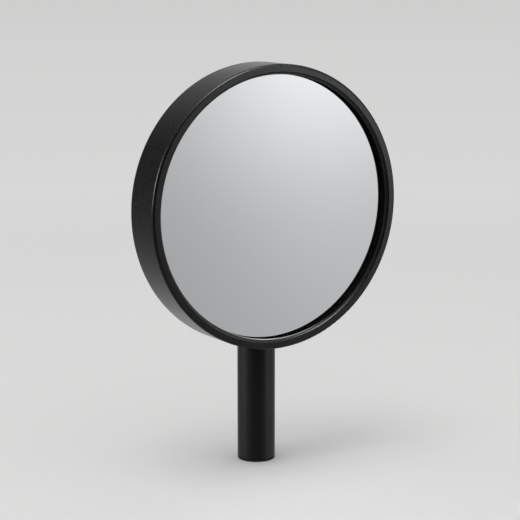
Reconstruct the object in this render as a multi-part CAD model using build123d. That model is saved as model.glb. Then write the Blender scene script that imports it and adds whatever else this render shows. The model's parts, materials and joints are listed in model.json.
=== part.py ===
from build123d import *
from math import asin, cos, degrees, radians, sin
import os

# Extendable shaving mirror: a deep round head on a telescopic column that stands on a rubber foot.
# Millimetres. The origin is on the floor, on the column's axis. +Z is up and the mirror faces -Y.
# Depths in the head are counted backwards from its front plane, heights up from the floor.

# Head
head_diameter = 200.0
head_depth = 31.0
pivot_height = 187.0
column_setback = 30.4

# Rim shell
shell_wall = 2.0
edge_round = 1.8
back_edge_round = 0.5
lip_width = 7.4
lip_depth = 5.4
lip_return_wall = 3.0
lip_roll_width = 2.2
lip_roll_depth = 4.0

# Glass and what backs it
gasket_thickness = 1.0
gasket_width = 1.8
gasket_setback = 0.6
glass_thickness = 2.0
glass_clearance = 0.6
glass_edge_bevel = 0.4
pad_thickness = 1.5
pad_inset = 3.0
window_clearance = 0.5
nut_plate_border = 2.0
carrier_thickness = 1.8
carrier_clearance = 0.4
carrier_rim_height = 3.0
carrier_rim_wall = 2.0
ring_wire = 1.6
ring_groove_depth = 0.5
ring_end_gap = 3.0
ring_clearance = 0.1

# Rear cover
cover_wall = 2.0
cover_clearance = 0.4
cover_edge_round = 0.6
skirt_height = 6.0
skirt_wall = 1.8
channel_clearance = 1.5
channel_wall = 1.8
channel_corner = 1.5
channel_rim_round = 1.0

# Cover screws and their bosses
boss_count = 5
boss_diameter = 8.0
boss_inset = 18.0
cover_screw_diameter = 3.0
cover_screw_head = 5.6
cover_screw_length = 9.0
screw_hole_clearance = 0.2

# Tilt hinge
hinge_bolt_diameter = 6.0
hinge_clearance = 0.05
bolt_head_diameter = 10.0
bolt_head_height = 3.0
bolt_tail = 0.4
nut_across_flats = 10.0
nut_height = 3.2
spring_washer_height = 1.0
spring_washer_diameter = 11.0
friction_washer_thickness = 1.0
friction_washer_diameter = 16.0
washer_clearance = 0.05
hinge_side_gap = 0.8
bracket_thickness = 2.5
bracket_height = 38.0
bracket_side_gap = 0.5
bracket_corner = 3.0
ear_radius = 9.0
ear_root_round = 1.8
bracket_screw_diameter = 3.0
bracket_screw_head = 5.4
bracket_screw_head_height = 1.8
bracket_screw_margin = 3.8

# Swivel yoke
yoke_height = 15.0
yoke_shoulder_height = 3.0
yoke_shoulder_round = 1.0
neck_depth = 13.0
eye_radius = 9.0
heel_height = 4.0
heel_round = 1.0
nose_depth = 12.0
nose_round = 2.0
tilt_limit = 45.0
stop_gap = 0.3
swivel_washer_thickness = 1.0
disc_spring_thickness = 0.4
disc_spring_height = 0.9
retaining_washer_thickness = 1.0
retaining_washer_clearance = 0.4
swivel_screw_diameter = 4.0
swivel_screw_head = 7.0
swivel_screw_head_height = 2.4
swivel_screw_length = 11.0

# Column
column_diameter = 27.2
sleeve_wall = 3.0
sleeve_edge_round = 0.5
foot_flange_height = 2.0
foot_flange_inset = 0.2
foot_edge_round = 1.0
foot_stem_height = 4.0
ballast_height = 34.0
ballast_bevel = 1.0
buffer_height = 3.0
landing_gap = 0.3
piston_height = 14.0
piston_spigot_height = 18.0
piston_pin_diameter = 3.0
piston_pin_inset = 0.3
friction_ring_section = 1.9
ring_groove_play = 0.2
bush_wall = 1.4
bush_length = 20.0
bush_flange_height = 2.0
bush_flange_inset = 0.6
bush_edge_round = 0.6
tube_wall = 2.0
tube_reveal = 4.0
plug_wall = 1.9
plug_length = 18.0
plug_flange_height = 3.0
press_clearance = 0.02
running_clearance = 0.06

# Head radii
head_radius = head_diameter / 2
shell_bore = head_radius - shell_wall
lip_bore = head_radius - lip_width
lip_return = lip_bore + lip_return_wall
glass_radius = shell_bore - glass_clearance
pad_radius = glass_radius - pad_inset
carrier_radius = shell_bore - carrier_clearance
cover_radius = shell_bore - cover_clearance
boss_circle = cover_radius - boss_inset

# Depths behind the head's front plane
glass_front = lip_depth + gasket_thickness
pad_front = glass_front + glass_thickness
carrier_front = pad_front + pad_thickness
floor_front = carrier_front + carrier_thickness
floor_back = floor_front + channel_wall
bracket_back = floor_back + bracket_thickness
skin_front = head_depth - cover_wall
ring_centre = floor_front + carrier_rim_height + ring_wire / 2 + press_clearance

# Column radii
column_radius = column_diameter / 2
sleeve_bore = column_radius - sleeve_wall
tube_radius = sleeve_bore - press_clearance - bush_wall - running_clearance
tube_bore = tube_radius - tube_wall
shank_radius = tube_bore - press_clearance - plug_wall - running_clearance
retaining_washer_radius = tube_bore - retaining_washer_clearance
piston_radius = sleeve_bore - running_clearance
channel_half_width = column_radius + channel_clearance

# Hinge stack across the channel, from the tongue outwards
hinge_bore = hinge_bolt_diameter + 2 * hinge_clearance
hinge_hardware = nut_height + bolt_tail + spring_washer_height + bracket_thickness
tongue_half = (channel_half_width - hinge_side_gap - hinge_hardware
               - friction_washer_thickness - 2 * washer_clearance)
friction_washer_inner = tongue_half + washer_clearance
ear_inner = friction_washer_inner + friction_washer_thickness + washer_clearance
ear_outer = ear_inner + bracket_thickness
bracket_half_width = channel_half_width - channel_corner - bracket_side_gap
bracket_reach = column_setback - bracket_back

# Heights above the floor
ballast_bottom = foot_flange_height + foot_stem_height
ballast_top = ballast_bottom + ballast_height
buffer_top = ballast_top + buffer_height
piston_bottom = buffer_top + landing_gap
tube_bottom = piston_bottom + piston_height
yoke_bottom = pivot_height - yoke_height
plug_top = yoke_bottom - swivel_washer_thickness - washer_clearance
tube_top = plug_top - plug_flange_height
plug_bottom = tube_top - plug_length
bush_top = tube_top - tube_reveal
sleeve_top = bush_top - bush_flange_height
bush_bottom = sleeve_top - bush_length
shank_bottom = plug_bottom - disc_spring_height - washer_clearance
retaining_washer_bottom = shank_bottom - retaining_washer_thickness
travel = bush_bottom - tube_bottom - landing_gap

# Planes and axes that the pieces are drawn on
front_y = -column_setback
head_plane = Plane(origin=(0, front_y, pivot_height), x_dir=(1, 0, 0), z_dir=(0, 0, 1))
head_axis = Axis((0, front_y, pivot_height), (0, 1, 0))
tilt_plane = Plane(origin=(0, 0, pivot_height), x_dir=(0, 1, 0), z_dir=(1, 0, 0))


def rectangle(inner, outer, low, high):
    """Corner points of a straight ring section: two radii and two places along the axis."""
    return [(inner, low), (outer, low), (outer, high), (inner, high)]


def turned(points, plane, axis, rounds=(), curve=None):
    """Solid turned about an axis from (radius, place) points, closed by a curve, with the named corners rounded."""
    edges = Polyline(*points, close=curve is None).edges()
    profile = make_face(edges if curve is None else edges + curve.edges())
    for corner, radius in rounds:
        nearest = profile.vertices().sort_by_distance(corner)[0]
        profile = fillet(nearest, radius)
    return revolve(plane * profile, axis)


def head_turned(points, rounds=(), curve=None):
    """Solid turned about the head's axis, from radii and depths."""
    return turned(points, head_plane, head_axis, rounds, curve)


def column_turned(points, rounds=()):
    """Solid turned about the column's axis, from radii and heights."""
    return turned(points, Plane.XZ, Axis.Z, rounds)


def depth_plane(depth, across=0.0, up=0.0):
    """Plane square to the head's axis at a depth, facing backwards, at a place beside the pivot."""
    origin = (across, front_y + depth, pivot_height + up)
    return Plane(origin=origin, x_dir=(1, 0, 0), z_dir=(0, 1, 0))


def side_plane(across):
    """Plane square to the hinge bolt, through its axis, at a place across the head."""
    return Plane(origin=(across, 0, pivot_height), x_dir=(0, 1, 0), z_dir=(1, 0, 0))


def drilled(places, diameter, front, back):
    """Straight holes along the head's depth at (across, up) places."""
    section = Circle(diameter / 2)
    return [extrude(depth_plane(front, *place) * section, back - front) for place in places]


def boss_places():
    """Places of the cover screws, evenly round the head from the top."""
    return [(boss_circle * sin(radians(360 * step / boss_count)),
             boss_circle * cos(radians(360 * step / boss_count))) for step in range(boss_count)]


def bracket_screw_places():
    """Places of the four bracket screws, above and below the ears."""
    across = bracket_half_width - bracket_screw_margin
    up = bracket_height / 2 - bracket_screw_margin
    return [(side * across, end * up) for side in (-1, 1) for end in (-1, 1)]


def channel_outline(half_width):
    """Face of the column's channel seen from behind: straight sides and a round top end."""
    length = pivot_height + bracket_height / 2
    straight = Pos(0, (bracket_height - length) / 2) * Rectangle(2 * half_width, length)
    return straight + Pos(0, bracket_height / 2) * Circle(half_width)


def upright_outline(depth, outline):
    """Outline drawn across and up, laid on the plane at a depth."""
    origin = (0, front_y + depth, pivot_height)
    return Plane(origin=origin, x_dir=(-1, 0, 0), z_dir=(0, 1, 0)) * outline


def channel_space():
    """The space that the column runs in, open to the back and the bottom."""
    outline = upright_outline(floor_back, channel_outline(channel_half_width))
    space = extrude(outline, 2 * head_depth)
    floor_edges = space.faces().sort_by(Axis.Y)[0].edges()
    return fillet(floor_edges, channel_corner)


def rim_shell():
    """Drum wall with a rounded front edge, a lip that rolls softly in to the glass, and a column notch."""
    roll_start = lip_bore + lip_roll_width
    section = [
        (roll_start, 0),
        (head_radius, 0),
        (head_radius, head_depth),
        (shell_bore, head_depth),
        (shell_bore, shell_wall),
        (lip_return, shell_wall),
        (lip_return, lip_depth),
        (lip_bore, lip_depth),
        (lip_bore, lip_roll_depth),
    ]
    roll = EllipticalCenterArc((roll_start, lip_roll_depth), lip_roll_width, lip_roll_depth, 180, arc_size=90)
    rounds = [((head_radius, 0), edge_round), ((head_radius, head_depth), back_edge_round)]
    groove_half = ring_wire / 2 + ring_clearance
    groove_section = rectangle(shell_bore - ring_wire, shell_bore + ring_groove_depth,
                               ring_centre - groove_half, ring_centre + groove_half)
    return head_turned(section, rounds, roll) - head_turned(groove_section) - channel_space()


def glass_gasket():
    """Soft ring between the lip and the glass."""
    inner = lip_bore + gasket_setback
    return head_turned(rectangle(inner, inner + gasket_width, lip_depth, glass_front))


def mirror_glass():
    """Flat round glass with a small bevel on its edge."""
    section = [
        (0, glass_front),
        (glass_radius - glass_edge_bevel, glass_front),
        (glass_radius, glass_front + glass_edge_bevel),
        (glass_radius, pad_front),
        (0, pad_front),
    ]
    return head_turned(section)


def nut_plate_size():
    """Width and height of the steel plate that the bracket screws bite in."""
    width = 2 * bracket_half_width + 2 * nut_plate_border
    return width, bracket_height + 2 * nut_plate_border


def backing_pad():
    """Pad behind the glass, with a window for the nut plate."""
    width, height = nut_plate_size()
    window = Rectangle(width + 2 * window_clearance, height + 2 * window_clearance)
    outline = Circle(pad_radius) - window
    return extrude(upright_outline(pad_front, outline), pad_thickness)


def nut_plate():
    """Steel plate in front of the carrier, tapped for the bracket screws."""
    width, height = nut_plate_size()
    outline = RectangleRounded(width, height, bracket_corner)
    plate = extrude(upright_outline(pad_front, outline), pad_thickness)
    return plate - drilled(bracket_screw_places(), bracket_screw_diameter, pad_front, carrier_front)


def carrier_plate():
    """Moulded plate behind the glass, with a stiff rim and the bosses for the cover screws."""
    rim_back = floor_front + carrier_rim_height
    plate = head_turned(rectangle(0, carrier_radius, carrier_front, floor_front))
    plate += head_turned(rectangle(carrier_radius - carrier_rim_wall, carrier_radius, floor_front, rim_back))
    plate += drilled(boss_places(), boss_diameter, floor_front, skin_front)
    plate -= drilled(boss_places(), cover_screw_diameter, floor_front, skin_front)
    hole = bracket_screw_diameter + screw_hole_clearance
    plate -= drilled(bracket_screw_places(), hole, carrier_front, floor_front)
    return plate - channel_space()


def retaining_ring():
    """Sprung wire ring in the shell's groove, which keeps the glass stack in; it is open round the channel."""
    wire_radius = ring_wire / 2
    middle = shell_bore + ring_groove_depth - ring_clearance - wire_radius
    open_half = degrees(asin((channel_half_width + channel_wall + ring_end_gap) / middle))
    section = head_plane * Pos(middle, ring_centre) * Circle(wire_radius)
    wire = revolve(section, head_axis, 360 - 2 * open_half)
    return wire.rotate(head_axis, 90 + open_half)


def rear_cover():
    """Back moulding, flush with the shell, whose channel takes the column up to the hinge."""
    skin = head_turned(rectangle(0, cover_radius, skin_front, head_depth),
                       [((cover_radius, head_depth), cover_edge_round)])
    skirt = head_turned(rectangle(cover_radius - skirt_wall, cover_radius, skin_front - skirt_height, skin_front))
    walls = extrude(upright_outline(floor_front, channel_outline(channel_half_width + channel_wall)),
                    skin_front - floor_front)
    limit = head_turned(rectangle(0, carrier_radius - carrier_rim_wall - cover_clearance, floor_front, skin_front))
    cover = skin + skirt + (walls & limit) - channel_space()
    rim = [edge for edge in cover.edges().group_by(Axis.Y)[-1] if edge.length < 2 * cover_radius]
    cover = fillet(rim, channel_rim_round)
    countersink = [depth_plane(head_depth, *place) * countersunk_head() for place in boss_places()]
    hole = bracket_screw_diameter + screw_hole_clearance
    return cover - countersink - drilled(bracket_screw_places(), hole, floor_front, floor_back)


def countersunk_head():
    """Cone of a countersunk head, with its flat top at the plane it is drawn on."""
    half_head = cover_screw_head / 2
    half_shank = cover_screw_diameter / 2
    section = make_face(Polyline((0, 0), (half_head, 0), (half_shank, half_shank - half_head),
                                 (half_shank, -cover_wall), (0, -cover_wall), close=True))
    return revolve(Plane.XZ * section, Axis.Z)


def cover_screws():
    """Countersunk screws that hold the rear cover to the carrier's bosses."""
    half_head = cover_screw_head / 2
    half_shank = cover_screw_diameter / 2
    section = make_face(Polyline((0, 0), (half_head, 0), (half_shank, half_shank - half_head),
                                 (half_shank, -cover_screw_length), (0, -cover_screw_length), close=True))
    screw = revolve(Plane.XZ * section, Axis.Z)
    return [depth_plane(head_depth, *place) * screw for place in boss_places()]


def ear_root(side):
    """Section of the fillet outside one ear, where it stands on the base plate."""
    middle = ear_root_round / 2
    square = Pos(side * (ear_outer + middle), middle - bracket_reach) * Rectangle(ear_root_round, ear_root_round)
    return square - Pos(side * (ear_outer + ear_root_round), ear_root_round - bracket_reach) * Circle(ear_root_round)


def hinge_bracket():
    """Cast bracket: a base plate on the channel's floor and two round-ended ears for the bolt."""
    base_outline = RectangleRounded(2 * bracket_half_width, bracket_height, bracket_corner)
    bracket = extrude(upright_outline(floor_back, base_outline), bracket_thickness)
    web = Pos(-bracket_reach / 2, 0) * Rectangle(bracket_reach, 2 * ear_radius)
    ear = web + Circle(ear_radius) - Circle(hinge_bolt_diameter / 2 + press_clearance)
    for inner in (ear_inner, -ear_outer):
        bracket += extrude(side_plane(inner) * ear, bracket_thickness)
    for side in (-1, 1):
        bracket += extrude(Pos(0, 0, pivot_height - ear_radius) * ear_root(side), 2 * ear_radius)
    hole = bracket_screw_diameter + screw_hole_clearance
    return bracket - drilled(bracket_screw_places(), hole, floor_back, bracket_back)


def bracket_screws():
    """Pan-head screws through the bracket, the channel's floor and the carrier into the nut plate."""
    half_head = bracket_screw_head / 2
    half_shank = bracket_screw_diameter / 2
    length = bracket_back - pad_front
    section = make_face(Polyline((0, bracket_screw_head_height), (half_head, bracket_screw_head_height),
                                 (half_head, 0), (half_shank, 0), (half_shank, -length), (0, -length), close=True))
    screw = revolve(Plane.XZ * section, Axis.Z)
    return [depth_plane(bracket_back, *place) * screw for place in bracket_screw_places()]


def hinge_bolt():
    """Bolt across the ears and the tongue, with a low round head."""
    head = extrude(side_plane(ear_outer) * Circle(bolt_head_diameter / 2), bolt_head_height)
    tail = -(ear_outer + spring_washer_height + nut_height + bolt_tail)
    return head + extrude(side_plane(tail) * Circle(hinge_bolt_diameter / 2), ear_outer - tail)


def hinge_nut():
    """Hexagon lock nut at the bolt's tail."""
    outer = -(ear_outer + spring_washer_height + nut_height)
    outline = RegularPolygon(nut_across_flats / 2, 6, major_radius=False)
    outline -= Circle(hinge_bolt_diameter / 2 + press_clearance)
    return extrude(side_plane(outer) * outline, nut_height)


def spring_washer():
    """Sprung washer under the nut, which sets how stiff the tilt is."""
    outline = Circle(spring_washer_diameter / 2) - Circle(hinge_bore / 2)
    return extrude(side_plane(-(ear_outer + spring_washer_height)) * outline, spring_washer_height)


def friction_washers():
    """Two plain washers between the tongue and the ears."""
    outline = Circle(friction_washer_diameter / 2) - Circle(hinge_bore / 2)
    starts = (friction_washer_inner, -friction_washer_inner - friction_washer_thickness)
    return [extrude(side_plane(start) * outline, friction_washer_thickness) for start in starts]


def swivel_yoke():
    """Shank that turns in the tube's plug, and the tongue with its eye, its rest heel and its stop nose."""
    shoulder_top = yoke_bottom + yoke_shoulder_height
    section = [
        (0, shank_bottom),
        (shank_radius, shank_bottom),
        (shank_radius, yoke_bottom),
        (tube_radius, yoke_bottom),
        (tube_radius, shoulder_top),
        (0, shoulder_top),
    ]
    neck_height = yoke_height - yoke_shoulder_height
    heel_reach = bracket_reach - stop_gap
    heel_top = heel_height - neck_height
    turn = radians(tilt_limit)
    nose_flat = nose_depth / 2 - nose_round
    nose_height = nose_round + (heel_reach - nose_round - nose_flat * cos(turn)) / sin(turn)
    outline = Circle(eye_radius) + Pos(0, -neck_height / 2) * Rectangle(neck_depth, neck_height)
    outline += Pos(-heel_reach / 2, heel_top - heel_height / 2) * Rectangle(heel_reach, heel_height)
    outline += Pos(0, nose_height / 2) * Rectangle(nose_depth, nose_height)
    corners = [
        ((-nose_depth / 2, nose_height), nose_round),
        ((nose_depth / 2, nose_height), nose_round),
        ((-heel_reach, heel_top), heel_round),
    ]
    for corner, radius in corners:
        nearest = outline.vertices().sort_by_distance(corner)[0]
        outline = fillet(nearest, radius)
    outline -= Circle(hinge_bore / 2)
    tongue = extrude(tilt_plane * outline, tongue_half, both=True)
    tapped_hole = column_turned(rectangle(0, swivel_screw_diameter / 2 + press_clearance,
                                          shank_bottom, shank_bottom + swivel_screw_length))
    shank = column_turned(section, [((tube_radius, shoulder_top), yoke_shoulder_round)])
    return shank + tongue - tapped_hole


def swivel_washer():
    """Plain washer that the yoke turns on."""
    inner = shank_radius + running_clearance
    return column_turned(rectangle(inner, tube_radius, plug_top, plug_top + swivel_washer_thickness))


def disc_spring():
    """Coned spring washer that keeps the swivel firm."""
    rise = disc_spring_height - disc_spring_thickness
    section = [
        (shank_radius + running_clearance, shank_bottom),
        (retaining_washer_radius, shank_bottom),
        (retaining_washer_radius, shank_bottom + disc_spring_thickness),
        (shank_radius + running_clearance, shank_bottom + disc_spring_thickness + rise),
    ]
    return column_turned(section)


def retaining_washer():
    """Washer that the swivel screw clamps to the end of the shank."""
    inner = swivel_screw_diameter / 2 + running_clearance
    return column_turned(rectangle(inner, retaining_washer_radius, retaining_washer_bottom, shank_bottom))


def swivel_screw():
    """Cap screw up into the shank."""
    head_bottom = retaining_washer_bottom - swivel_screw_head_height
    section = [
        (0, head_bottom),
        (swivel_screw_head / 2, head_bottom),
        (swivel_screw_head / 2, retaining_washer_bottom),
        (swivel_screw_diameter / 2, retaining_washer_bottom),
        (swivel_screw_diameter / 2, retaining_washer_bottom + swivel_screw_length),
        (0, retaining_washer_bottom + swivel_screw_length),
    ]
    return column_turned(section)


def pin_hole(length, diameter):
    """Cross hole or pin through the foot of the inner tube."""
    height = tube_bottom + piston_spigot_height / 2
    start = Plane(origin=(-length / 2, 0, height), x_dir=(0, 1, 0), z_dir=(1, 0, 0))
    return extrude(start * Circle(diameter / 2), length)


def inner_tube():
    """Sliding tube, with a cross hole for the piston's pin."""
    tube = column_turned(rectangle(tube_bore, tube_radius, tube_bottom, tube_top))
    return tube - pin_hole(2 * tube_radius, piston_pin_diameter + 2 * press_clearance)


def tube_plug():
    """Plug pressed in the tube's top, whose bore is the swivel's bearing."""
    bore = shank_radius + running_clearance
    section = [
        (bore, plug_bottom),
        (tube_bore - press_clearance, plug_bottom),
        (tube_bore - press_clearance, tube_top),
        (tube_radius, tube_top),
        (tube_radius, plug_top),
        (bore, plug_top),
    ]
    return column_turned(section)


def friction_ring_heights():
    """Heights of the two friction rings on the piston."""
    return [piston_bottom + piston_height * share for share in (0.25, 0.75)]


def guide_piston():
    """Piston that guides the tube's foot in the sleeve, with grooves for the friction rings."""
    spigot = tube_bore - press_clearance
    section = [
        (0, piston_bottom),
        (piston_radius, piston_bottom),
        (piston_radius, tube_bottom),
        (spigot, tube_bottom),
        (spigot, tube_bottom + piston_spigot_height),
        (0, tube_bottom + piston_spigot_height),
    ]
    piston = column_turned(section)
    groove_half = friction_ring_section / 2 + ring_groove_play
    groove_floor = piston_radius - friction_ring_section - press_clearance
    for height in friction_ring_heights():
        piston -= column_turned(rectangle(groove_floor, sleeve_bore, height - groove_half, height + groove_half))
    return piston - pin_hole(2 * tube_radius, piston_pin_diameter + 2 * press_clearance)


def friction_rings():
    """Two rubber rings that hold the slide where it is put."""
    section_radius = friction_ring_section / 2
    middle = piston_radius - section_radius
    return [Pos(0, 0, height) * Torus(middle, section_radius) for height in friction_ring_heights()]


def piston_pin():
    """Pin through the tube and the piston's spigot."""
    return pin_hole(2 * (tube_radius - piston_pin_inset), piston_pin_diameter)


def column_sleeve():
    """Outer tube of the column: the post that shows below the head."""
    section = rectangle(sleeve_bore, column_radius, foot_flange_height, sleeve_top)
    return column_turned(section, [((column_radius, sleeve_top), sleeve_edge_round)])


def mouth_bush():
    """Flanged bush in the sleeve's mouth that the inner tube runs in."""
    bore = tube_radius + running_clearance
    flange_radius = column_radius - bush_flange_inset
    section = [
        (bore, bush_bottom),
        (sleeve_bore - press_clearance, bush_bottom),
        (sleeve_bore - press_clearance, sleeve_top),
        (flange_radius, sleeve_top),
        (flange_radius, bush_top),
        (bore, bush_top),
    ]
    return column_turned(section, [((flange_radius, bush_top), bush_edge_round)])


def ballast_weight():
    """Steel slug in the foot of the sleeve that keeps the mirror standing."""
    radius = sleeve_bore - press_clearance
    section = [
        (0, ballast_bottom),
        (radius - ballast_bevel, ballast_bottom),
        (radius, ballast_bottom + ballast_bevel),
        (radius, ballast_top),
        (0, ballast_top),
    ]
    return column_turned(section)


def landing_buffer():
    """Rubber disc on the ballast that the piston comes down on."""
    return column_turned(rectangle(0, sleeve_bore - running_clearance, ballast_top, buffer_top))


def rubber_foot():
    """Flanged rubber foot: a flat sole under the sleeve and a stem pressed up into it."""
    flange_radius = column_radius - foot_flange_inset
    stem_radius = sleeve_bore - press_clearance
    section = [
        (0, 0),
        (flange_radius, 0),
        (flange_radius, foot_flange_height),
        (stem_radius, foot_flange_height),
        (stem_radius, ballast_bottom),
        (0, ballast_bottom),
    ]
    return column_turned(section, [((flange_radius, 0), foot_edge_round)])


pieces = [
    rim_shell, glass_gasket, mirror_glass, backing_pad, nut_plate, carrier_plate, retaining_ring, rear_cover,
    cover_screws, hinge_bracket, bracket_screws, hinge_bolt, hinge_nut, spring_washer, friction_washers,
    swivel_yoke, swivel_washer, disc_spring, retaining_washer, swivel_screw,
    inner_tube, tube_plug, guide_piston, friction_rings, piston_pin,
    column_sleeve, mouth_bush, ballast_weight, landing_buffer, rubber_foot,
]

os.makedirs("parts", exist_ok=True)
for make_piece in pieces:
    piece = make_piece()
    if isinstance(piece, list):
        piece = Compound(children=[solid for item in piece for solid in item.solids()])
    export_step(piece, f"parts/{make_piece.__name__}.step")
print(f"column travel {travel:.2f} mm, tongue thickness {2 * tongue_half:.2f} mm")
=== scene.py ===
"""Extendable shaving mirror: finishes, small hardware, studio and camera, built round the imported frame."""

import json
import logging
import math
from dataclasses import dataclass
from enum import Enum
from typing import Optional, Sequence, Union

import bmesh
import bpy
from mathutils import Matrix, Vector


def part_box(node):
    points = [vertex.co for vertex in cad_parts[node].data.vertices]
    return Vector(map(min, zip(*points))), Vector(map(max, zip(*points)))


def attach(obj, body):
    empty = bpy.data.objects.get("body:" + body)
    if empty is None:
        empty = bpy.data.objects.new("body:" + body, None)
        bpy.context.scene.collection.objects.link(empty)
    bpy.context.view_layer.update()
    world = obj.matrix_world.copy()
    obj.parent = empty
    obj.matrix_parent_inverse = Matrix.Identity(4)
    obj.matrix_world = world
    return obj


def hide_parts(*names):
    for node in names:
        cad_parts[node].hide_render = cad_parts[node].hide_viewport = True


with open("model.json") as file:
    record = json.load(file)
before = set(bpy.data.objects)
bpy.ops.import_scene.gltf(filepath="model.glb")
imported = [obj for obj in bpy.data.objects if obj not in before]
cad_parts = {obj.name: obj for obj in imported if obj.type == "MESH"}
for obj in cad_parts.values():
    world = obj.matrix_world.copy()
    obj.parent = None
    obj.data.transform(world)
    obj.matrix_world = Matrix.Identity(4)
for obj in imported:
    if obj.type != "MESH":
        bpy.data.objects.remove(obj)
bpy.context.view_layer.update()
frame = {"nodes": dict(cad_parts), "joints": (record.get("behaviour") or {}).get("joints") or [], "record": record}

log = logging.getLogger("shaving_mirror")

MM = 0.001
IMAGE_SIDE = 520
ROUND_SEGMENTS = 72
SHARP_ANGLE = math.radians(32)
WHITE = (1.0, 1.0, 1.0)

Colour = tuple[float, float, float]
Factors = tuple[float, float, float]
Pair = tuple[float, float]
Ring = list[bmesh.types.BMVert]
Value = Union["Signal", float, tuple, Vector]


class Signal:
    """What flows along one shader link; sums and products of signals add their Math nodes."""

    def __init__(self, shader: "Shader", socket: bpy.types.NodeSocket) -> None:
        """Keep the socket and the shader that it belongs to."""
        self.shader = shader
        self.socket = socket

    def _math(self, operation: str, first: Value, second: Value = 0.0) -> "Signal":
        """Add one Math node.

        Args:
            operation: the Math node's operation.
            first: its first value or link.
            second: its second value or link.

        Returns:
            The node's result.
        """
        return self.shader.node("ShaderNodeMath", {"operation": operation}, {0: first, 1: second})

    def __add__(self, other: Value) -> "Signal":
        """Sum with a value or a signal."""
        return self._math("ADD", self, other)

    def __sub__(self, other: Value) -> "Signal":
        """This signal less a value or a signal."""
        return self._math("SUBTRACT", self, other)

    def __rsub__(self, other: Value) -> "Signal":
        """A value less this signal."""
        return self._math("SUBTRACT", other, self)

    def __mul__(self, other: Value) -> "Signal":
        """Product with a value or a signal."""
        return self._math("MULTIPLY", self, other)

    def __pow__(self, other: Value) -> "Signal":
        """This signal raised to a power."""
        return self._math("POWER", self, other)

    __radd__ = __add__
    __rmul__ = __mul__

    def exponential(self) -> "Signal":
        """The number e raised to this signal."""
        return self._math("EXPONENT", self)

    def centred(self) -> "Signal":
        """This signal, which runs from 0 to 1, as a swing about nothing."""
        return self - 0.5

    def above(self, limit: float) -> "Signal":
        """One where the signal is above a limit, else nothing."""
        return self._math("GREATER_THAN", self, limit)

    def largest(self, other: Value) -> "Signal":
        """The larger of this signal and another."""
        return self._math("MAXIMUM", self, other)


class Shader:
    """Node tree of a material or of the world, filled node by node."""

    def __init__(self, tree: bpy.types.NodeTree) -> None:
        """Empty the tree before it is filled."""
        self.tree = tree
        self.tree.nodes.clear()

    def node(self, kind: str, settings: Optional[dict[str, object]] = None,
             inputs: Optional[dict[Union[str, int], Value]] = None,
             output: Union[str, int] = 0) -> Optional[Signal]:
        """Add a node, set it up and feed its sockets.

        Args:
            kind: the node's type.
            settings: its own settings, set first; "stops" holds the places of a ramp's black and white.
            inputs: values or signals by socket name or number.
            output: the socket that the result is taken from.

        Returns:
            The chosen output, or None for a node that ends the tree.
        """
        node = self.tree.nodes.new(kind)
        for name, setting in (settings or {}).items():
            if name == "stops":
                for element, place in zip(node.color_ramp.elements, setting):
                    element.position = place
            else:
                setattr(node, name, setting)
        for socket_name, value in (inputs or {}).items():
            self._feed(node.inputs[socket_name], value)
        return Signal(self, node.outputs[output]) if node.outputs else None

    def _feed(self, socket: bpy.types.NodeSocket, value: Value) -> None:
        """Link a signal to a socket, or write a plain value on it.

        Args:
            socket: the input socket.
            value: the signal or the plain value.
        """
        if isinstance(value, Signal):
            self.tree.links.new(value.socket, socket)
        elif socket.type == "RGBA":
            socket.default_value = (*value, 1.0)
        else:
            socket.default_value = value

    def place(self) -> Signal:
        """Place on the piece, in metres in the object's own frame."""
        return self.node("ShaderNodeTexCoord", output="Object")

    def stretched(self, vector: Signal, factors: Factors) -> Signal:
        """Vector with its parts multiplied one by one."""
        return self.node("ShaderNodeVectorMath", {"operation": "MULTIPLY"}, {0: vector, 1: factors})

    def noise(self, vector: Signal, feature: float, detail: float = 2.0) -> Signal:
        """Cloudy noise.

        Args:
            vector: where it is read, in metres.
            feature: size of its lumps in metres.
            detail: how many finer layers it has.

        Returns:
            Grey level from 0 to 1.
        """
        return self.node("ShaderNodeTexNoise", {}, {"Vector": vector, "Scale": 1 / feature, "Detail": detail})

    def cells(self, vector: Signal, feature: float) -> Signal:
        """Distance to the nearest of scattered points, about a feature size apart."""
        return self.node("ShaderNodeTexVoronoi", {}, {"Vector": vector, "Scale": 1 / feature})

    def ramp(self, value: Signal, stops: Pair) -> Signal:
        """Signal that is 0 up to the first stop and 1 from the second on."""
        return self.node("ShaderNodeValToRGB", {"stops": stops}, {"Fac": value})

    def tint(self, factor: Signal, first: Colour, second: Colour) -> Signal:
        """Colour between two colours."""
        return self.node("ShaderNodeMix", {"data_type": "RGBA"}, {0: factor, 6: first, 7: second}, output=2)

    def bump(self, height: Signal, depth: float, normal: Optional[Signal] = None) -> Signal:
        """Normal of a surface with fine relief.

        Args:
            height: relief from 0 to 1.
            depth: what a height of 1 stands for, in metres.
            normal: relief that this one lies on.

        Returns:
            The bent normal.
        """
        inputs = {"Height": height, "Distance": depth, "Strength": 1.0}
        if normal is not None:
            inputs["Normal"] = normal
        return self.node("ShaderNodeBump", {}, inputs)

    def principled(self, inputs: dict[Union[str, int], Value]) -> Signal:
        """Principled surface with these socket values."""
        return self.node("ShaderNodeBsdfPrincipled", {}, inputs)

    def surface(self, inputs: dict[Union[str, int], Value]) -> None:
        """Principled surface with these socket values, sent to the output."""
        self.output(self.principled(inputs))

    def output(self, surface: Signal) -> None:
        """Send a surface or background to the tree's output.

        Args:
            surface: what the material or the world shows.
        """
        is_world = any(world.node_tree == self.tree for world in bpy.data.worlds)
        kind = "ShaderNodeOutputWorld" if is_world else "ShaderNodeOutputMaterial"
        self.node(kind, {}, {"Surface": surface})


def toned(colour: Colour, factors: Pair) -> list[Colour]:
    """Colour at two brightnesses, its darker tone and its lighter one."""
    return [tuple(part * factor for part in colour) for factor in factors]


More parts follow.
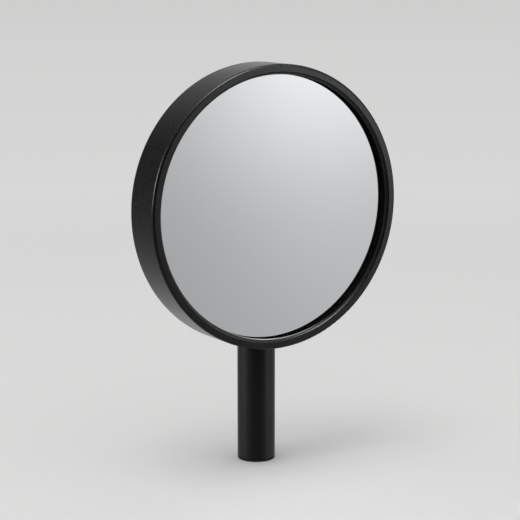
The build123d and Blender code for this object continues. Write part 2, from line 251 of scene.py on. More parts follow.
@dataclass(frozen=True)
class Finish:
    """What every finish has: a name, a colour and a roughness."""

    name: str
    colour: Colour
    roughness: float

    def material(self) -> bpy.types.Material:
        """Material of this finish, made on first use.

        Returns:
            The material that pieces share.
        """
        name = f"{self.name}_finish"
        found = bpy.data.materials.get(name)
        if found is None:
            found = bpy.data.materials.new(name)
            found.use_nodes = True
            found.diffuse_color = (*self.colour, 1.0)
            self.fill(Shader(found.node_tree))
        return found

    def fill(self, shader: Shader) -> None:
        """Build the nodes; each kind of finish has its own."""
        raise NotImplementedError


@dataclass(frozen=True)
class SatinCoat(Finish):
    """Sprayed black coat: fine orange peel, cloudy gloss and a very fine dry grain."""

    tones: Pair = (0.85, 1.15)
    grain: float = 0.12 * MM
    grain_depth: float = 0.0012 * MM
    grain_share: float = 0.4
    peel: float = 1.6 * MM
    peel_depth: float = 0.0016 * MM
    cloud: float = 14 * MM
    gloss_spread: float = 0.07
    specular: float = 0.5

    def fill(self, shader: Shader) -> None:
        """Build the coat's nodes.

        Args:
            shader: the tree that the nodes go to.
        """
        place = shader.place()
        cloud = shader.noise(place, self.cloud, detail=4.0)
        grain = shader.noise(place, self.grain, detail=1.0)
        peel = shader.noise(place, self.peel)
        relief = shader.bump(grain, self.grain_depth, shader.bump(peel, self.peel_depth))
        gloss = cloud.centred() + self.grain_share * grain.centred()
        coat = shader.principled({
            "Base Color": shader.tint(cloud, *toned(self.colour, self.tones)),
            "Roughness": self.roughness + self.gloss_spread * gloss,
            "Specular IOR Level": self.specular,
            "Normal": relief,
        })
        shader.output(self.trimmed(shader, place, coat))

    def trimmed(self, shader: Shader, place: Signal, coat: Signal) -> Signal:
        """Coat with what lies on it; a plain coat is bare."""
        return coat


@dataclass(frozen=True)
class RimCoat(SatinCoat):
    """Satin coat of the rim shell, with a band of painted shade along the lip's bore: matt black without
    reflections, in the gap in front of the glass.
    """

    bore: float = 92.9 * MM
    # Painted shade: a matt black band in the bore, from this depth back to the glass, that reflects nothing
    shade_band_start: float = 2.6 * MM
    shade_band_colour: Colour = (0.003, 0.003, 0.003)
    shade_band_roughness: float = 0.9
    shade_band_specular: float = 0.0

    def trimmed(self, shader: Shader, place: Signal, coat: Signal) -> Signal:
        """Coat with the band of painted shade on the bore: matt black without reflections.

        Args:
            shader: the tree that the nodes go to.
            place: place on the shell.
            coat: the coat's surface.

        Returns:
            The surface of coat and painted shade band.
        """
        axis = (0.0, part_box("rim_shell")[0].y + self.shade_band_start, joint_place("head_tilt").z)
        from_axis = shader.node("ShaderNodeVectorMath", {"operation": "SUBTRACT"}, {0: place, 1: axis})
        across = shader.stretched(from_axis, (1.0, 0.0, 1.0))
        radius = shader.node("ShaderNodeVectorMath", {"operation": "LENGTH"}, {0: across}, output="Value")
        depth = shader.node("ShaderNodeSeparateXYZ", {}, {0: from_axis}, output="Y")
        # Painted shade: the bore just in front of the glass is made matt black and unreflecting, so that it reads
        # as the shaded gap
        shade_band_mask = depth.above(0.0) * (self.bore - radius).above(0.0)
        painted_shade = shader.principled({
            "Base Color": self.shade_band_colour,
            "Roughness": self.shade_band_roughness,
            "Specular IOR Level": self.shade_band_specular,
        })
        return shader.node("ShaderNodeMixShader", {}, {0: shade_band_mask, 1: coat, 2: painted_shade})


@dataclass(frozen=True)
class SilveredGlass(Finish):
    """Mirror glass: a silvered face, and a cut edge that shows the glass's own green."""

    edge_colour: Colour = (0.16, 0.25, 0.21)
    edge_roughness: float = 0.3
    face_limit: float = 0.7

    def fill(self, shader: Shader) -> None:
        """Build the glass's nodes.

        Args:
            shader: the tree that the nodes go to.
        """
        normal = shader.node("ShaderNodeTexCoord", output="Normal")
        along = shader.node("ShaderNodeSeparateXYZ", {}, {0: normal}, output="Y")
        face = (along * along).above(self.face_limit)
        shader.surface({
            "Base Color": shader.tint(face, self.edge_colour, self.colour),
            "Metallic": face,
            "Roughness": self.roughness * face + self.edge_roughness * (1 - face),
        })


@dataclass(frozen=True)
class GrainedMoulding(Finish):
    """Moulded plastic with a spark-eroded grain and a little flow mottle."""

    tones: Pair = (0.8, 1.2)
    grain: float = 0.45 * MM
    grain_depth: float = 0.018 * MM
    pit_edges: Pair = (0.15, 0.6)
    fine: float = 0.15 * MM
    fine_depth: float = 0.0045 * MM
    flow: float = 30 * MM
    flow_stretch: Factors = (1.0, 1.0, 0.4)
    gloss_spread: float = 0.1

    def fill(self, shader: Shader) -> None:
        """Build the moulding's nodes.

        Args:
            shader: the tree that the nodes go to.
        """
        place = shader.place()
        flow = shader.noise(shader.stretched(place, self.flow_stretch), self.flow, detail=3.0)
        pits = shader.ramp(shader.cells(place, self.grain), self.pit_edges)
        fine = shader.noise(place, self.fine)
        relief = shader.bump(fine, self.fine_depth, shader.bump(pits, self.grain_depth))
        shader.surface({
            "Base Color": shader.tint(flow, *toned(self.colour, self.tones)),
            "Roughness": self.roughness + self.gloss_spread * (pits - flow),
            "Normal": relief,
        })


@dataclass(frozen=True)
class Rubber(Finish):
    """Matt moulded rubber with a dusty bloom."""

    tones: Pair = (1.0, 1.8)
    bloom: float = 4 * MM
    bloom_edges: Pair = (0.4, 0.75)
    skin: float = 0.3 * MM
    skin_depth: float = 0.006 * MM
    gloss_spread: float = 0.12
    specular: float = 0.12

    def fill(self, shader: Shader) -> None:
        """Build the rubber's nodes.

        Args:
            shader: the tree that the nodes go to.
        """
        place = shader.place()
        bloom = shader.ramp(shader.noise(place, self.bloom, detail=4.0), self.bloom_edges)
        skin = shader.noise(place, self.skin, detail=3.0)
        shader.surface({
            "Base Color": shader.tint(bloom, *toned(self.colour, self.tones)),
            "Roughness": self.roughness + self.gloss_spread * (bloom - skin),
            "Specular IOR Level": self.specular,
            "Normal": shader.bump(skin, self.skin_depth),
        })


@dataclass(frozen=True)
class PaintedCasting(Finish):
    """Pressure casting under a thin coat of paint: soft lumps and a fine tooth."""

    tones: Pair = (0.75, 1.25)
    lump: float = 3 * MM
    lump_depth: float = 0.05 * MM
    tooth: float = 0.35 * MM
    tooth_depth: float = 0.02 * MM
    gloss_spread: float = 0.12

    def fill(self, shader: Shader) -> None:
        """Build the casting's nodes.

        Args:
            shader: the tree that the nodes go to.
        """
        place = shader.place()
        lump = shader.noise(place, self.lump, detail=3.0)
        tooth = shader.noise(place, self.tooth, detail=3.0)
        relief = shader.bump(tooth, self.tooth_depth, shader.bump(lump, self.lump_depth))
        shader.surface({
            "Base Color": shader.tint(lump, *toned(self.colour, self.tones)),
            "Roughness": self.roughness + self.gloss_spread * tooth.centred(),
            "Normal": relief,
        })


@dataclass(frozen=True)
class PlatedSteel(Finish):
    """Plated or blackened steel with a cloudy tint and fine barrel-polish scratches."""

    second_colour: Colour = (0.6, 0.6, 0.6)
    cloud: float = 2.5 * MM
    cloud_gloss: float = 0.16
    scratch: float = 0.15 * MM
    scratch_depth: float = 0.004 * MM
    scratch_stretch: Factors = (1.0, 0.15, 1.0)
    scratch_gloss: float = 0.1

    def fill(self, shader: Shader) -> None:
        """Build the steel's nodes.

        Args:
            shader: the tree that the nodes go to.
        """
        place = shader.place()
        cloud = shader.noise(place, self.cloud, detail=4.0)
        scratch = shader.noise(shader.stretched(place, self.scratch_stretch), self.scratch)
        gloss = self.cloud_gloss * cloud.centred() + self.scratch_gloss * scratch.centred()
        shader.surface({
            "Base Color": shader.tint(cloud, self.colour, self.second_colour),
            "Metallic": 1.0,
            "Roughness": self.roughness + gloss,
            "Normal": shader.bump(scratch, self.scratch_depth),
        })


@dataclass(frozen=True)
class WorkedMetal(Finish):
    """Bare metal with tool lines along it or round it."""

    tones: Pair = (0.88, 1.06)
    line_stretch: Factors = (1.0, 1.0, 0.02)
    line_width: float = 0.14 * MM
    line_depth: float = 0.004 * MM
    line_gloss: float = 0.2
    tarnish: float = 9 * MM
    tarnish_gloss: float = 0.08

    def fill(self, shader: Shader) -> None:
        """Build the metal's nodes.

        Args:
            shader: the tree that the nodes go to.
        """
        place = shader.place()
        lines = shader.noise(shader.stretched(place, self.line_stretch), self.line_width, detail=3.0)
        tarnish = shader.noise(place, self.tarnish, detail=3.0)
        gloss = self.line_gloss * lines.centred() + self.tarnish_gloss * tarnish.centred()
        shader.surface({
            "Base Color": shader.tint(tarnish, *toned(self.colour, self.tones)),
            "Metallic": 1.0,
            "Roughness": self.roughness + gloss,
            "Normal": shader.bump(lines, self.line_depth),
        })


@dataclass(frozen=True)
class Nylon(Finish):
    """Moulded or turned nylon: waxy, with faint turning marks."""

    tones: Pair = (0.92, 1.06)
    mark: float = 0.25 * MM
    mark_depth: float = 0.006 * MM
    mark_stretch: Factors = (0.05, 0.05, 1.0)
    mark_gloss: float = 0.14
    mottle: float = 5 * MM

    def fill(self, shader: Shader) -> None:
        """Build the nylon's nodes.

        Args:
            shader: the tree that the nodes go to.
        """
        place = shader.place()
        mottle = shader.noise(place, self.mottle, detail=3.0)
        marks = shader.noise(shader.stretched(place, self.mark_stretch), self.mark)
        shader.surface({
            "Base Color": shader.tint(mottle, *toned(self.colour, self.tones)),
            "Roughness": self.roughness + self.mark_gloss * marks.centred(),
            "Normal": shader.bump(marks, self.mark_depth),
        })


@dataclass(frozen=True)
class FibreBoard(Finish):
    """Pressed board with short fibres."""

    tones: Pair = (0.7, 1.2)
    fibre: float = 0.5 * MM
    fibre_depth: float = 0.05 * MM
    fibre_stretch: Factors = (0.2, 1.0, 1.0)

    def fill(self, shader: Shader) -> None:
        """Build the board's nodes.

        Args:
            shader: the tree that the nodes go to.
        """
        place = shader.place()
        fibre = shader.noise(shader.stretched(place, self.fibre_stretch), self.fibre, detail=4.0)
        shader.surface({
            "Base Color": shader.tint(fibre, *toned(self.colour, self.tones)),
            "Roughness": self.roughness,
            "Normal": shader.bump(fibre, self.fibre_depth),
        })


LINES_ROUND: Factors = (0.03, 0.03, 1.0)

FINISHES: tuple[Finish, ...] = (
    RimCoat("satin_black_shell", (0.003, 0.003, 0.0032), 0.28, specular=0.36),
    SatinCoat("matt_black_column", (0.003, 0.003, 0.0031), 0.38, specular=0.36,
              peel=0.9 * MM, peel_depth=0.004 * MM),
    SilveredGlass("silvered_glass", (0.884, 0.896, 0.916), 0.0),
    Rubber("black_rubber", (0.009, 0.009, 0.009), 0.75),
    GrainedMoulding("black_moulding", (0.011, 0.011, 0.0115), 0.5),
    PaintedCasting("black_casting", (0.016, 0.016, 0.017), 0.42),
    PlatedSteel("black_steel", (0.035, 0.035, 0.038), 0.34, second_colour=(0.06, 0.058, 0.055)),
    PlatedSteel("zinc_steel", (0.58, 0.61, 0.66), 0.28, second_colour=(0.68, 0.66, 0.6)),
    PlatedSteel("spring_steel", (0.38, 0.385, 0.4), 0.32, second_colour=(0.46, 0.45, 0.43)),
    WorkedMetal("stainless_tube", (0.6, 0.6, 0.61), 0.24),
    WorkedMetal("plain_steel", (0.35, 0.35, 0.36), 0.38, line_stretch=LINES_ROUND),
    WorkedMetal("turned_brass", (0.72, 0.55, 0.27), 0.26, line_stretch=LINES_ROUND, line_width=0.2 * MM),
    Nylon("pale_nylon", (0.78, 0.77, 0.72), 0.42),
    Nylon("black_nylon", (0.014, 0.014, 0.0145), 0.4),
    FibreBoard("fibre_board", (0.4, 0.32, 0.23), 0.85),
)
FINISH_BY_SLOT: dict[str, Finish] = {finish.name: finish for finish in FINISHES}


class Outline(Enum):
    """Outline of one level of a spun form."""

    ROUND = "round"
    HEXAGON = "hexagon"
    CROSS = "cross"


@dataclass(frozen=True)
class Level:
    """One level of a spun form: its place along the axis and its outline's reach from the axis.

    The radius is half the width across a hexagon's flats, or the length of a cross's arms.
    The limit cuts corners off, and arm is half the width of a cross's arms.
    """

    height: float
    radius: float
    outline: Outline = Outline.ROUND
    limit: float = math.inf
    arm: float = 0.0

    def reach(self, angle: float) -> float:
        """How far the outline is from the axis.

        Args:
            angle: direction round the axis, in radians.

        Returns:
            The distance in metres.
        """
        reach = self.radius
        if self.outline is Outline.HEXAGON:
            corner = math.pi / 6
            reach = self.radius / math.cos((angle + corner) % (2 * corner) - corner)
        elif self.outline is Outline.CROSS:
            corner = math.pi / 4
            off_arm = abs((angle + corner) % (2 * corner) - corner)
            side = self.arm / math.sin(off_arm) if off_arm else math.inf
            reach = min(self.radius / math.cos(off_arm), side)
        return min(reach, self.limit)


def finished_object(name: str, form: bmesh.types.BMesh) -> bpy.types.Object:
    """Object from a built form, smooth with its corners kept sharp.

    Args:
        name: the piece's name.
        form: the mesh being built, which is freed.

    Returns:
        The object, linked to the scene.
    """
    bmesh.ops.recalc_face_normals(form, faces=form.faces)
    for face in form.faces:
        face.smooth = True
    for edge in form.edges:
        edge.smooth = not (len(edge.link_faces) == 2 and edge.calc_face_angle() > SHARP_ANGLE)
    mesh = bpy.data.meshes.new(name)
    form.to_mesh(mesh)
    form.free()
    made = bpy.data.objects.new(name, mesh)
    bpy.context.scene.collection.objects.link(made)
    return made


def spun_ring(form: bmesh.types.BMesh, level: Level, place: Matrix) -> Ring:
    """Add one level's points: a ring of them, or one point on the axis.

    Args:
        form: the mesh being built.
        level: the level to add.
        place: where the form's axis lies.

    Returns:
        The level's points, in order round the axis.
    """
    if level.radius == 0:
        return [form.verts.new(place @ Vector((0, 0, level.height)))]
    ring = []
    for step in range(ROUND_SEGMENTS):
        angle = math.tau * step / ROUND_SEGMENTS
        reach = level.reach(angle)
        point = Vector((reach * math.cos(angle), reach * math.sin(angle), level.height))
        ring.append(form.verts.new(place @ point))
    return ring


def join_rings(form: bmesh.types.BMesh, lower: Ring, upper: Ring) -> None:
    """Close the surface between two neighbouring levels with faces.

    Args:
        form: the mesh being built.
        lower: points of the one level.
        upper: points of the next.
    """
    for step in range(max(len(lower), len(upper))):
        corners = []
        for ring, order in ((lower, (step, step + 1)), (upper, (step + 1, step))):
            for index in order:
                point = ring[index % len(ring)]
                if point not in corners:
                    corners.append(point)
        form.faces.new(corners)


def spun(name: str, levels: Sequence[Level], places: Sequence[Matrix],
         bored: bool = False) -> bpy.types.Object:
    """Form spun through its levels, once at each place.

    Args:
        name: the piece's name.
        levels: levels along the surface, from end to end, or right round where it is bored.
        places: where the axes lie; each form points along its own +Z.
        bored: whether the last level joins the first.

    Returns:
        The object, with all the copies in it.
    """
    form = bmesh.new()
    for place in places:
        rings = [spun_ring(form, level, place) for level in levels]
        pairs = list(zip(rings, rings[1:]))
        if bored:
            pairs.append((rings[-1], rings[0]))
        for lower, upper in pairs:
            join_rings(form, lower, upper)
    return finished_object(name, form)


def rounded_corner(middle_height: float, middle_radius: float, radius: float,
                   start: float, end: float, steps: int = 6) -> list[Level]:
    """Levels along a quarter round.

    Args:
        middle_height: height of the round's centre.
        middle_radius: distance of the round's centre from the axis.
        radius: the round's radius.
        start: direction of its first level in degrees, where 0 points outwards and 90 up.
        end: direction of its last level.
        steps: how many spans it has.

    Returns:
        The levels, both ends included.
    """
    levels = []
    for step in range(steps + 1):
        angle = math.radians(start + (end - start) * step / steps)
        height = middle_height + radius * math.sin(angle)
        levels.append(Level(height, middle_radius + radius * math.cos(angle)))
    return levels


def facing(direction: Vector, origin: Vector) -> Matrix:
    """Place whose +Z points along a direction."""
    return Matrix.Translation(origin) @ direction.to_track_quat("Z", "Y").to_matrix().to_4x4()


class Assembly:
    """A group of pieces that belong together: it dresses frame nodes and makes finer ones."""

    def nodes(self) -> tuple[str, ...]:
        """Names of the frame nodes that are kept as they are and dressed."""
        raise NotImplementedError

    def details(self) -> list[bpy.types.Object]:
        """Pieces made here that stand for frame nodes."""
        return []

    def build(self) -> None:
        """Dress the kept nodes and report each of them, and make the finer pieces."""
        for name in self.nodes():
            slot = slot_of(name)
            frame["nodes"][name].material_slots[0].material = FINISH_BY_SLOT[slot].material()
            log.info("%s: frame node in %s", name, slot)
        for piece in self.details():
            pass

    @staticmethod
    def stand_in(piece: bpy.types.Object, node: str) -> bpy.types.Object:
        """Let a finer piece stand for a frame node, on its body and in its finish.

        Args:
            piece: the finer piece.
            node: the frame node that it replaces.

        Returns:
            The piece.
        """
        slot = slot_of(node)
        bodies = frame["record"]["behaviour"]["bodies"]
        body = next(name for name, members in bodies.items() if node in members)
        piece.data.materials.append(FINISH_BY_SLOT[slot].material())
        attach(piece, body)
        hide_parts(node)
        return piece


def slot_of(node: str) -> str:
    """Material slot that the record gives a frame node."""
    return next(part["material_slot"] for part in frame["record"]["subparts"] if part["node"] == node)


def joint_place(name: str) -> Vector:
    """Point on a joint's axis, in the frame's metres."""
    return Vector(next(joint["pos_m"] for joint in frame["joints"] if joint["name"] == name))


@dataclass
class MirrorHead(Assembly):
    """Drum with its glass and rear cover, and the countersunk screws that close it."""

    screw_count: int = 5
    screw_head_radius: float = 2.8 * MM
    screw_shank_radius: float = 1.5 * MM
    screw_length: float = 9.0 * MM
    tip_radius: float = 0.9 * MM
    tip_length: float = 0.75 * MM
    socket_half: float = 1.0 * MM
    socket_depth: float = 1.1 * MM
    edge: float = 0.12 * MM

    def nodes(self) -> tuple[str, ...]:
        """Names of the head's frame nodes."""
        return ("rim_shell", "glass_gasket", "mirror_glass", "backing_pad", "nut_plate", "carrier_plate",
                "retaining_ring", "rear_cover")

    def details(self) -> list[bpy.types.Object]:
        """Cover screws with hexagon sockets."""
        return [self.cover_screws()]

    def cover_screws(self) -> bpy.types.Object:
        """Five countersunk socket screws, flush with the rear cover.

        Returns:
            The piece that stands for the plain screws.
        """
        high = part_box("cover_screws")[1]
        pivot = joint_place("head_tilt")
        circle = high.z - pivot.z - self.screw_head_radius
        cone = self.screw_head_radius - self.screw_shank_radius
        levels = [
            Level(-self.screw_length, 0.0),
            Level(-self.screw_length, self.tip_radius),
            Level(-self.screw_length + self.tip_length, self.screw_shank_radius),
            Level(-cone, self.screw_shank_radius),
            Level(-self.edge, self.screw_head_radius - self.edge / 2),
            Level(0.0, self.screw_head_radius - self.edge),
            Level(0.0, self.socket_half + self.edge, Outline.HEXAGON),
            Level(-self.edge, self.socket_half, Outline.HEXAGON),
            Level(-self.socket_depth, self.socket_half, Outline.HEXAGON),
            Level(-self.socket_depth - self.edge, 0.0),
        ]
        places = []
        for step in range(self.screw_count):
            angle = math.tau * step / self.screw_count
            origin = Vector((circle * math.sin(angle), high.y, pivot.z + circle * math.cos(angle)))
            places.append(facing(Vector((0, 1, 0)), origin))
        return self.stand_in(spun("cover_screw_set", levels, places), "cover_screws")


@dataclass
class TiltHinge(Assembly):
    """Bracket with its screws, and the bolt, nut and washers of the tilt.

    The crown's shape is a list of shares of its height, each with the share of the head's radius there.
    """

    bolt_radius: float = 3.0 * MM
    socket_half: float = 2.0 * MM
    socket_depth: float = 1.8 * MM
    edge: float = 0.4 * MM
    nut_bore: float = 3.02 * MM
    nut_face_inset: float = 0.15 * MM
    nut_corner_reach: float = 0.4 * MM
    nut_chamfer: float = 0.35 * MM
    thread_depth: float = 0.35 * MM
    washer_bore: float = 3.05 * MM
    split: float = 14.0
    split_lead: float = 8.0
    screw_head_radius: float = 2.7 * MM
    screw_head_height: float = 1.8 * MM
    screw_shank_radius: float = 1.5 * MM
    crown: float = 0.7 * MM
    crown_shape: tuple[Pair, ...] = ((0.0, 1.0), (0.4, 0.95), (0.75, 0.82), (1.0, 0.62))
    cross_radius: float = 1.5 * MM
    cross_arm: float = 0.42 * MM
    cross_depth: float = 1.1 * MM
    cross_floor_radius: float = 0.75 * MM
    cross_floor_arm: float = 0.294 * MM
    cross_point: float = 0.22 * MM

    def nodes(self) -> tuple[str, ...]:
        """Names of the hinge's frame nodes."""
        return ("hinge_bracket", "friction_washers")

    def details(self) -> list[bpy.types.Object]:
        """Bolt, nut, split washer and bracket screws."""
        return [self.hinge_bolt(), self.hinge_nut(), self.split_washer(), self.bracket_screws()]

    @staticmethod
    def on_bolt() -> Matrix:
        """Place on the tilt's axis whose +Z points to the bolt's head."""
        return facing(Vector((1, 0, 0)), joint_place("head_tilt"))

    def hinge_bolt(self) -> bpy.types.Object:
        """Bolt with a rounded head and a hexagon socket; its seat lies as far out as the spring washer's.

        Returns:
            The piece that stands for the plain bolt.
        """
        low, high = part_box("hinge_bolt")
        seat = -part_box("spring_washer")[1].x
        head_radius = (high.z - low.z) / 2
        top = high.x
        levels = [
            Level(low.x, 0.0),
            Level(low.x, self.bolt_radius - self.edge),
            Level(low.x + self.edge, self.bolt_radius),
            Level(seat, self.bolt_radius),
            Level(seat, head_radius),
            *rounded_corner(top - self.edge, head_radius - self.edge, self.edge, 0, 90),
            Level(top, self.socket_half + self.edge / 2, Outline.HEXAGON),
            Level(top - self.edge / 2, self.socket_half, Outline.HEXAGON),
            Level(top - self.socket_depth, self.socket_half, Outline.HEXAGON),
            Level(top - self.socket_depth - self.edge, 0.0),
        ]
        return self.stand_in(spun("hinge_bolt_socket_head", levels, [self.on_bolt()]), "hinge_bolt")

    def hinge_nut(self) -> bpy.types.Object:
        """Hexagon nut with chamfered corners and a countersunk thread.

        Returns:
            The piece that stands for the plain nut.
        """
        low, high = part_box("hinge_nut")
        flats = (high.z - low.z) / 2
        face = flats - self.nut_face_inset
        corner = flats + self.nut_corner_reach
        mouth = self.nut_bore + self.thread_depth
        levels = [
            Level(low.x, mouth),
            Level(low.x, face),
            Level(low.x + self.nut_chamfer, flats, Outline.HEXAGON, limit=corner),
            Level(low.x + 2 * self.nut_chamfer, flats, Outline.HEXAGON),
            Level(high.x - 2 * self.nut_chamfer, flats, Outline.HEXAGON),
            Level(high.x - self.nut_chamfer, flats, Outline.HEXAGON, limit=corner),
            Level(high.x, face),
            Level(high.x, mouth),
            Level(high.x - self.thread_depth, self.nut_bore),
            Level(low.x + self.thread_depth, self.nut_bore),
        ]
        nut = spun("hinge_nut_chamfered", levels, [self.on_bolt()], bored=True)
        return self.stand_in(nut, "hinge_nut")

    def split_washer(self) -> bpy.types.Object:
        """Spring washer cut through on a slant.

        Returns:
            The piece that stands for the plain washer.
        """
        low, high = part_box("spring_washer")
        outer = (high.z - low.z) / 2
        inner = self.washer_bore
        axis_height = joint_place("head_tilt").z
        form = bmesh.new()
        rings = []
        for step in range(ROUND_SEGMENTS + 1):
            ring = []
            for radius, along in ((inner, low.x), (outer, low.x), (outer, high.x), (inner, high.x)):
                lead = self.split_lead if along == high.x else 0.0
                share = step / ROUND_SEGMENTS
                angle = math.radians(90 + lead + self.split / 2 + (360 - self.split) * share)
                height = axis_height + radius * math.sin(angle)
                ring.append(form.verts.new((along, radius * math.cos(angle), height)))
            rings.append(ring)
        for lower, upper in zip(rings, rings[1:]):
            join_rings(form, lower, upper)
        form.faces.new(rings[0])
        form.faces.new(rings[-1])
        return self.stand_in(finished_object("spring_washer_split", form), "spring_washer")

    def bracket_screws(self) -> bpy.types.Object:
        """Four pan-head screws with cross recesses.

        Returns:
            The piece that stands for the plain screws.
        """
        low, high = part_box("bracket_screws")
        top = self.screw_head_height
        crown_start = top - self.crown
        length = high.y - low.y - top
        crown = [Level(crown_start + rise * self.crown, reach * self.screw_head_radius)
                 for rise, reach in self.crown_shape]
        levels = [
            Level(-length, 0.0),
            Level(-length, self.screw_shank_radius),
            Level(0.0, self.screw_shank_radius),
            Level(0.0, self.screw_head_radius),
            *crown,
            Level(top, self.cross_radius, Outline.CROSS, arm=self.cross_arm),
            Level(top - self.cross_depth, self.cross_floor_radius, Outline.CROSS, arm=self.cross_floor_arm),
            Level(top - self.cross_depth - self.cross_point, 0.0),
        ]
        places = []
        for across in (low.x + self.screw_head_radius, high.x - self.screw_head_radius):
            for up in (low.z + self.screw_head_radius, high.z - self.screw_head_radius):
                places.append(facing(Vector((0, 1, 0)), Vector((across, high.y - top, up))))
        return self.stand_in(spun("bracket_screw_set", levels, places), "bracket_screws")


@dataclass
class SwivelYoke(Assembly):
    """Yoke that turns in the top of the inner tube, with what holds it there."""

    def nodes(self) -> tuple[str, ...]:
        """Names of the swivel's frame nodes."""
        return ("swivel_yoke", "swivel_washer", "disc_spring", "retaining_washer", "swivel_screw")


@dataclass
class TelescopicColumn(Assembly):
    """Standing sleeve with its weight and foot, and the tube that slides in it."""

    sole_grooves: int = 3
    groove_width: float = 1.0 * MM
    groove_depth: float = 0.5 * MM
    groove_pitch: float = 3.2 * MM
    first_groove: float = 3.0 * MM
    foot_edge: float = 1.0 * MM
    stem_radius: float = 10.58 * MM
    flange_height: float = 2.0 * MM

    def nodes(self) -> tuple[str, ...]:
        """Names of the column's frame nodes."""
        return ("inner_tube", "tube_plug", "guide_piston", "friction_rings", "piston_pin", "column_sleeve",
                "mouth_bush", "ballast_weight", "landing_buffer")

    def details(self) -> list[bpy.types.Object]:
        """Foot with a grooved sole."""
        return [self.rubber_foot()]

    def rubber_foot(self) -> bpy.types.Object:
        """Foot whose sole has ring grooves that grip and let water out.

        Returns:
            The piece that stands for the plain foot.
        """
        low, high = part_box("rubber_foot")
        levels = [Level(low.z, 0.0)]
        for groove in range(self.sole_grooves):
            start = self.first_groove + groove * self.groove_pitch
            end = start + self.groove_width
            levels += [
                Level(low.z, start),
                Level(low.z + self.groove_depth, start),
                Level(low.z + self.groove_depth, end),
                Level(low.z, end),
            ]
        levels += rounded_corner(low.z + self.foot_edge, high.x - self.foot_edge, self.foot_edge, -90, 0)
        levels += [
            Level(low.z + self.flange_height, high.x),
            Level(low.z + self.flange_height, self.stem_radius),
            Level(high.z, self.stem_radius),
            Level(high.z, 0.0),
        ]
        return self.stand_in(spun("rubber_foot_grooved", levels, [Matrix.Identity(4)]), "rubber_foot")


@dataclass(frozen=True)
class Patch:
    """Soft round patch of the surroundings, in a direction seen from the mirror.

    Azimuth, elevation and spread are in degrees. Azimuth is 0 straight in front of the mirror and
    grows towards +X.
    """

    azimuth: float
    elevation: float
    spread: float
    strength: float

    def share(self, shader: Shader, direction: Signal) -> Signal:
        """How much of the patch is seen along a direction.

        Args:
            shader: the tree that the nodes go to.
            direction: unit vector away from the mirror.

        Returns:
            The patch's strength there.
        """
        turn = math.radians(self.azimuth)
        rise = math.radians(self.elevation)
        towards = (math.sin(turn) * math.cos(rise), -math.cos(turn) * math.cos(rise), math.sin(rise))
        near = shader.node("ShaderNodeVectorMath", {"operation": "DOT_PRODUCT"}, {0: direction, 1: towards},
                           output="Value")
        sharpness = 1 / (1 - math.cos(math.radians(self.spread)))
        return self.strength * (sharpness * (near - 1.0)).exponential()


@dataclass(frozen=True)
class Surroundings:
    """What shiny surfaces see of the studio: an even level with lights on it, and shades over both."""

    level: float
    lights: tuple[Patch, ...]
    shades: tuple[Patch, ...] = ()

    def brightness(self, shader: Shader, direction: Signal) -> Signal:
        """Light that comes to the mirror along a direction.

        Args:
            shader: the tree that the nodes go to.
            direction: unit vector away from the mirror.

        Returns:
            The brightness.
        """
        light = self.level
        for patch in self.lights:
            light = patch.share(shader, direction) + light
        for patch in self.shades:
            light = (1 - patch.share(shader, direction)) * light
        return light


# First reflections in the black coats: lights at the right, overhead, at the left and behind, dark in front
COAT_SURROUNDINGS = Surroundings(
    level=0.42,
    lights=(
        Patch(39, 4.5, 8, 11.8),
        Patch(-60, 85, 26, 3.0),
        Patch(9.5, 54, 13, 21.0),
        Patch(-112, 13, 9, 30.0),
        Patch(150, 8, 22, 0.3),
        Patch(170, -35, 22, 0.45),
    ),
    shades=(
        Patch(-52, -5, 26, 0.9),
        Patch(-20, 4.7, 29, 0.97),
        Patch(-1, 0, 22, 0.97),
        Patch(-24, 30, 26, 0.97),
        Patch(18, 3.6, 15.7, 0.97),
        Patch(23.7, -9, 8.9, 0.95),
        Patch(-152, 12, 30, 0.85),
    ),
)

# First reflections in the glass: a calm, even room that is lighter in front, at the right and overhead
GLASS_SURROUNDINGS = Surroundings(
    level=0.387,
    lights=(
        Patch(34.4, -2.36, 5.23, 0.595),
        Patch(36.05, -10.91, 4.57, 0.107),
        Patch(0, 90, 40, 0.3),
        Patch(-4, 0, 14, 0.25),
        Patch(-48, 2, 14, 0.2),
    ),
)

# Later reflections, where the rolled lip and the glass show in each other: a tall light at the right
LIP_SURROUNDINGS = Surroundings(
    level=0.387,
    lights=(
        Patch(47, 27, 7, 6.0),
        Patch(50, 38, 7, 9.0),
        Patch(46, 49, 7, 9.0),
        Patch(32, 60, 7, 10.0),
    ),
)


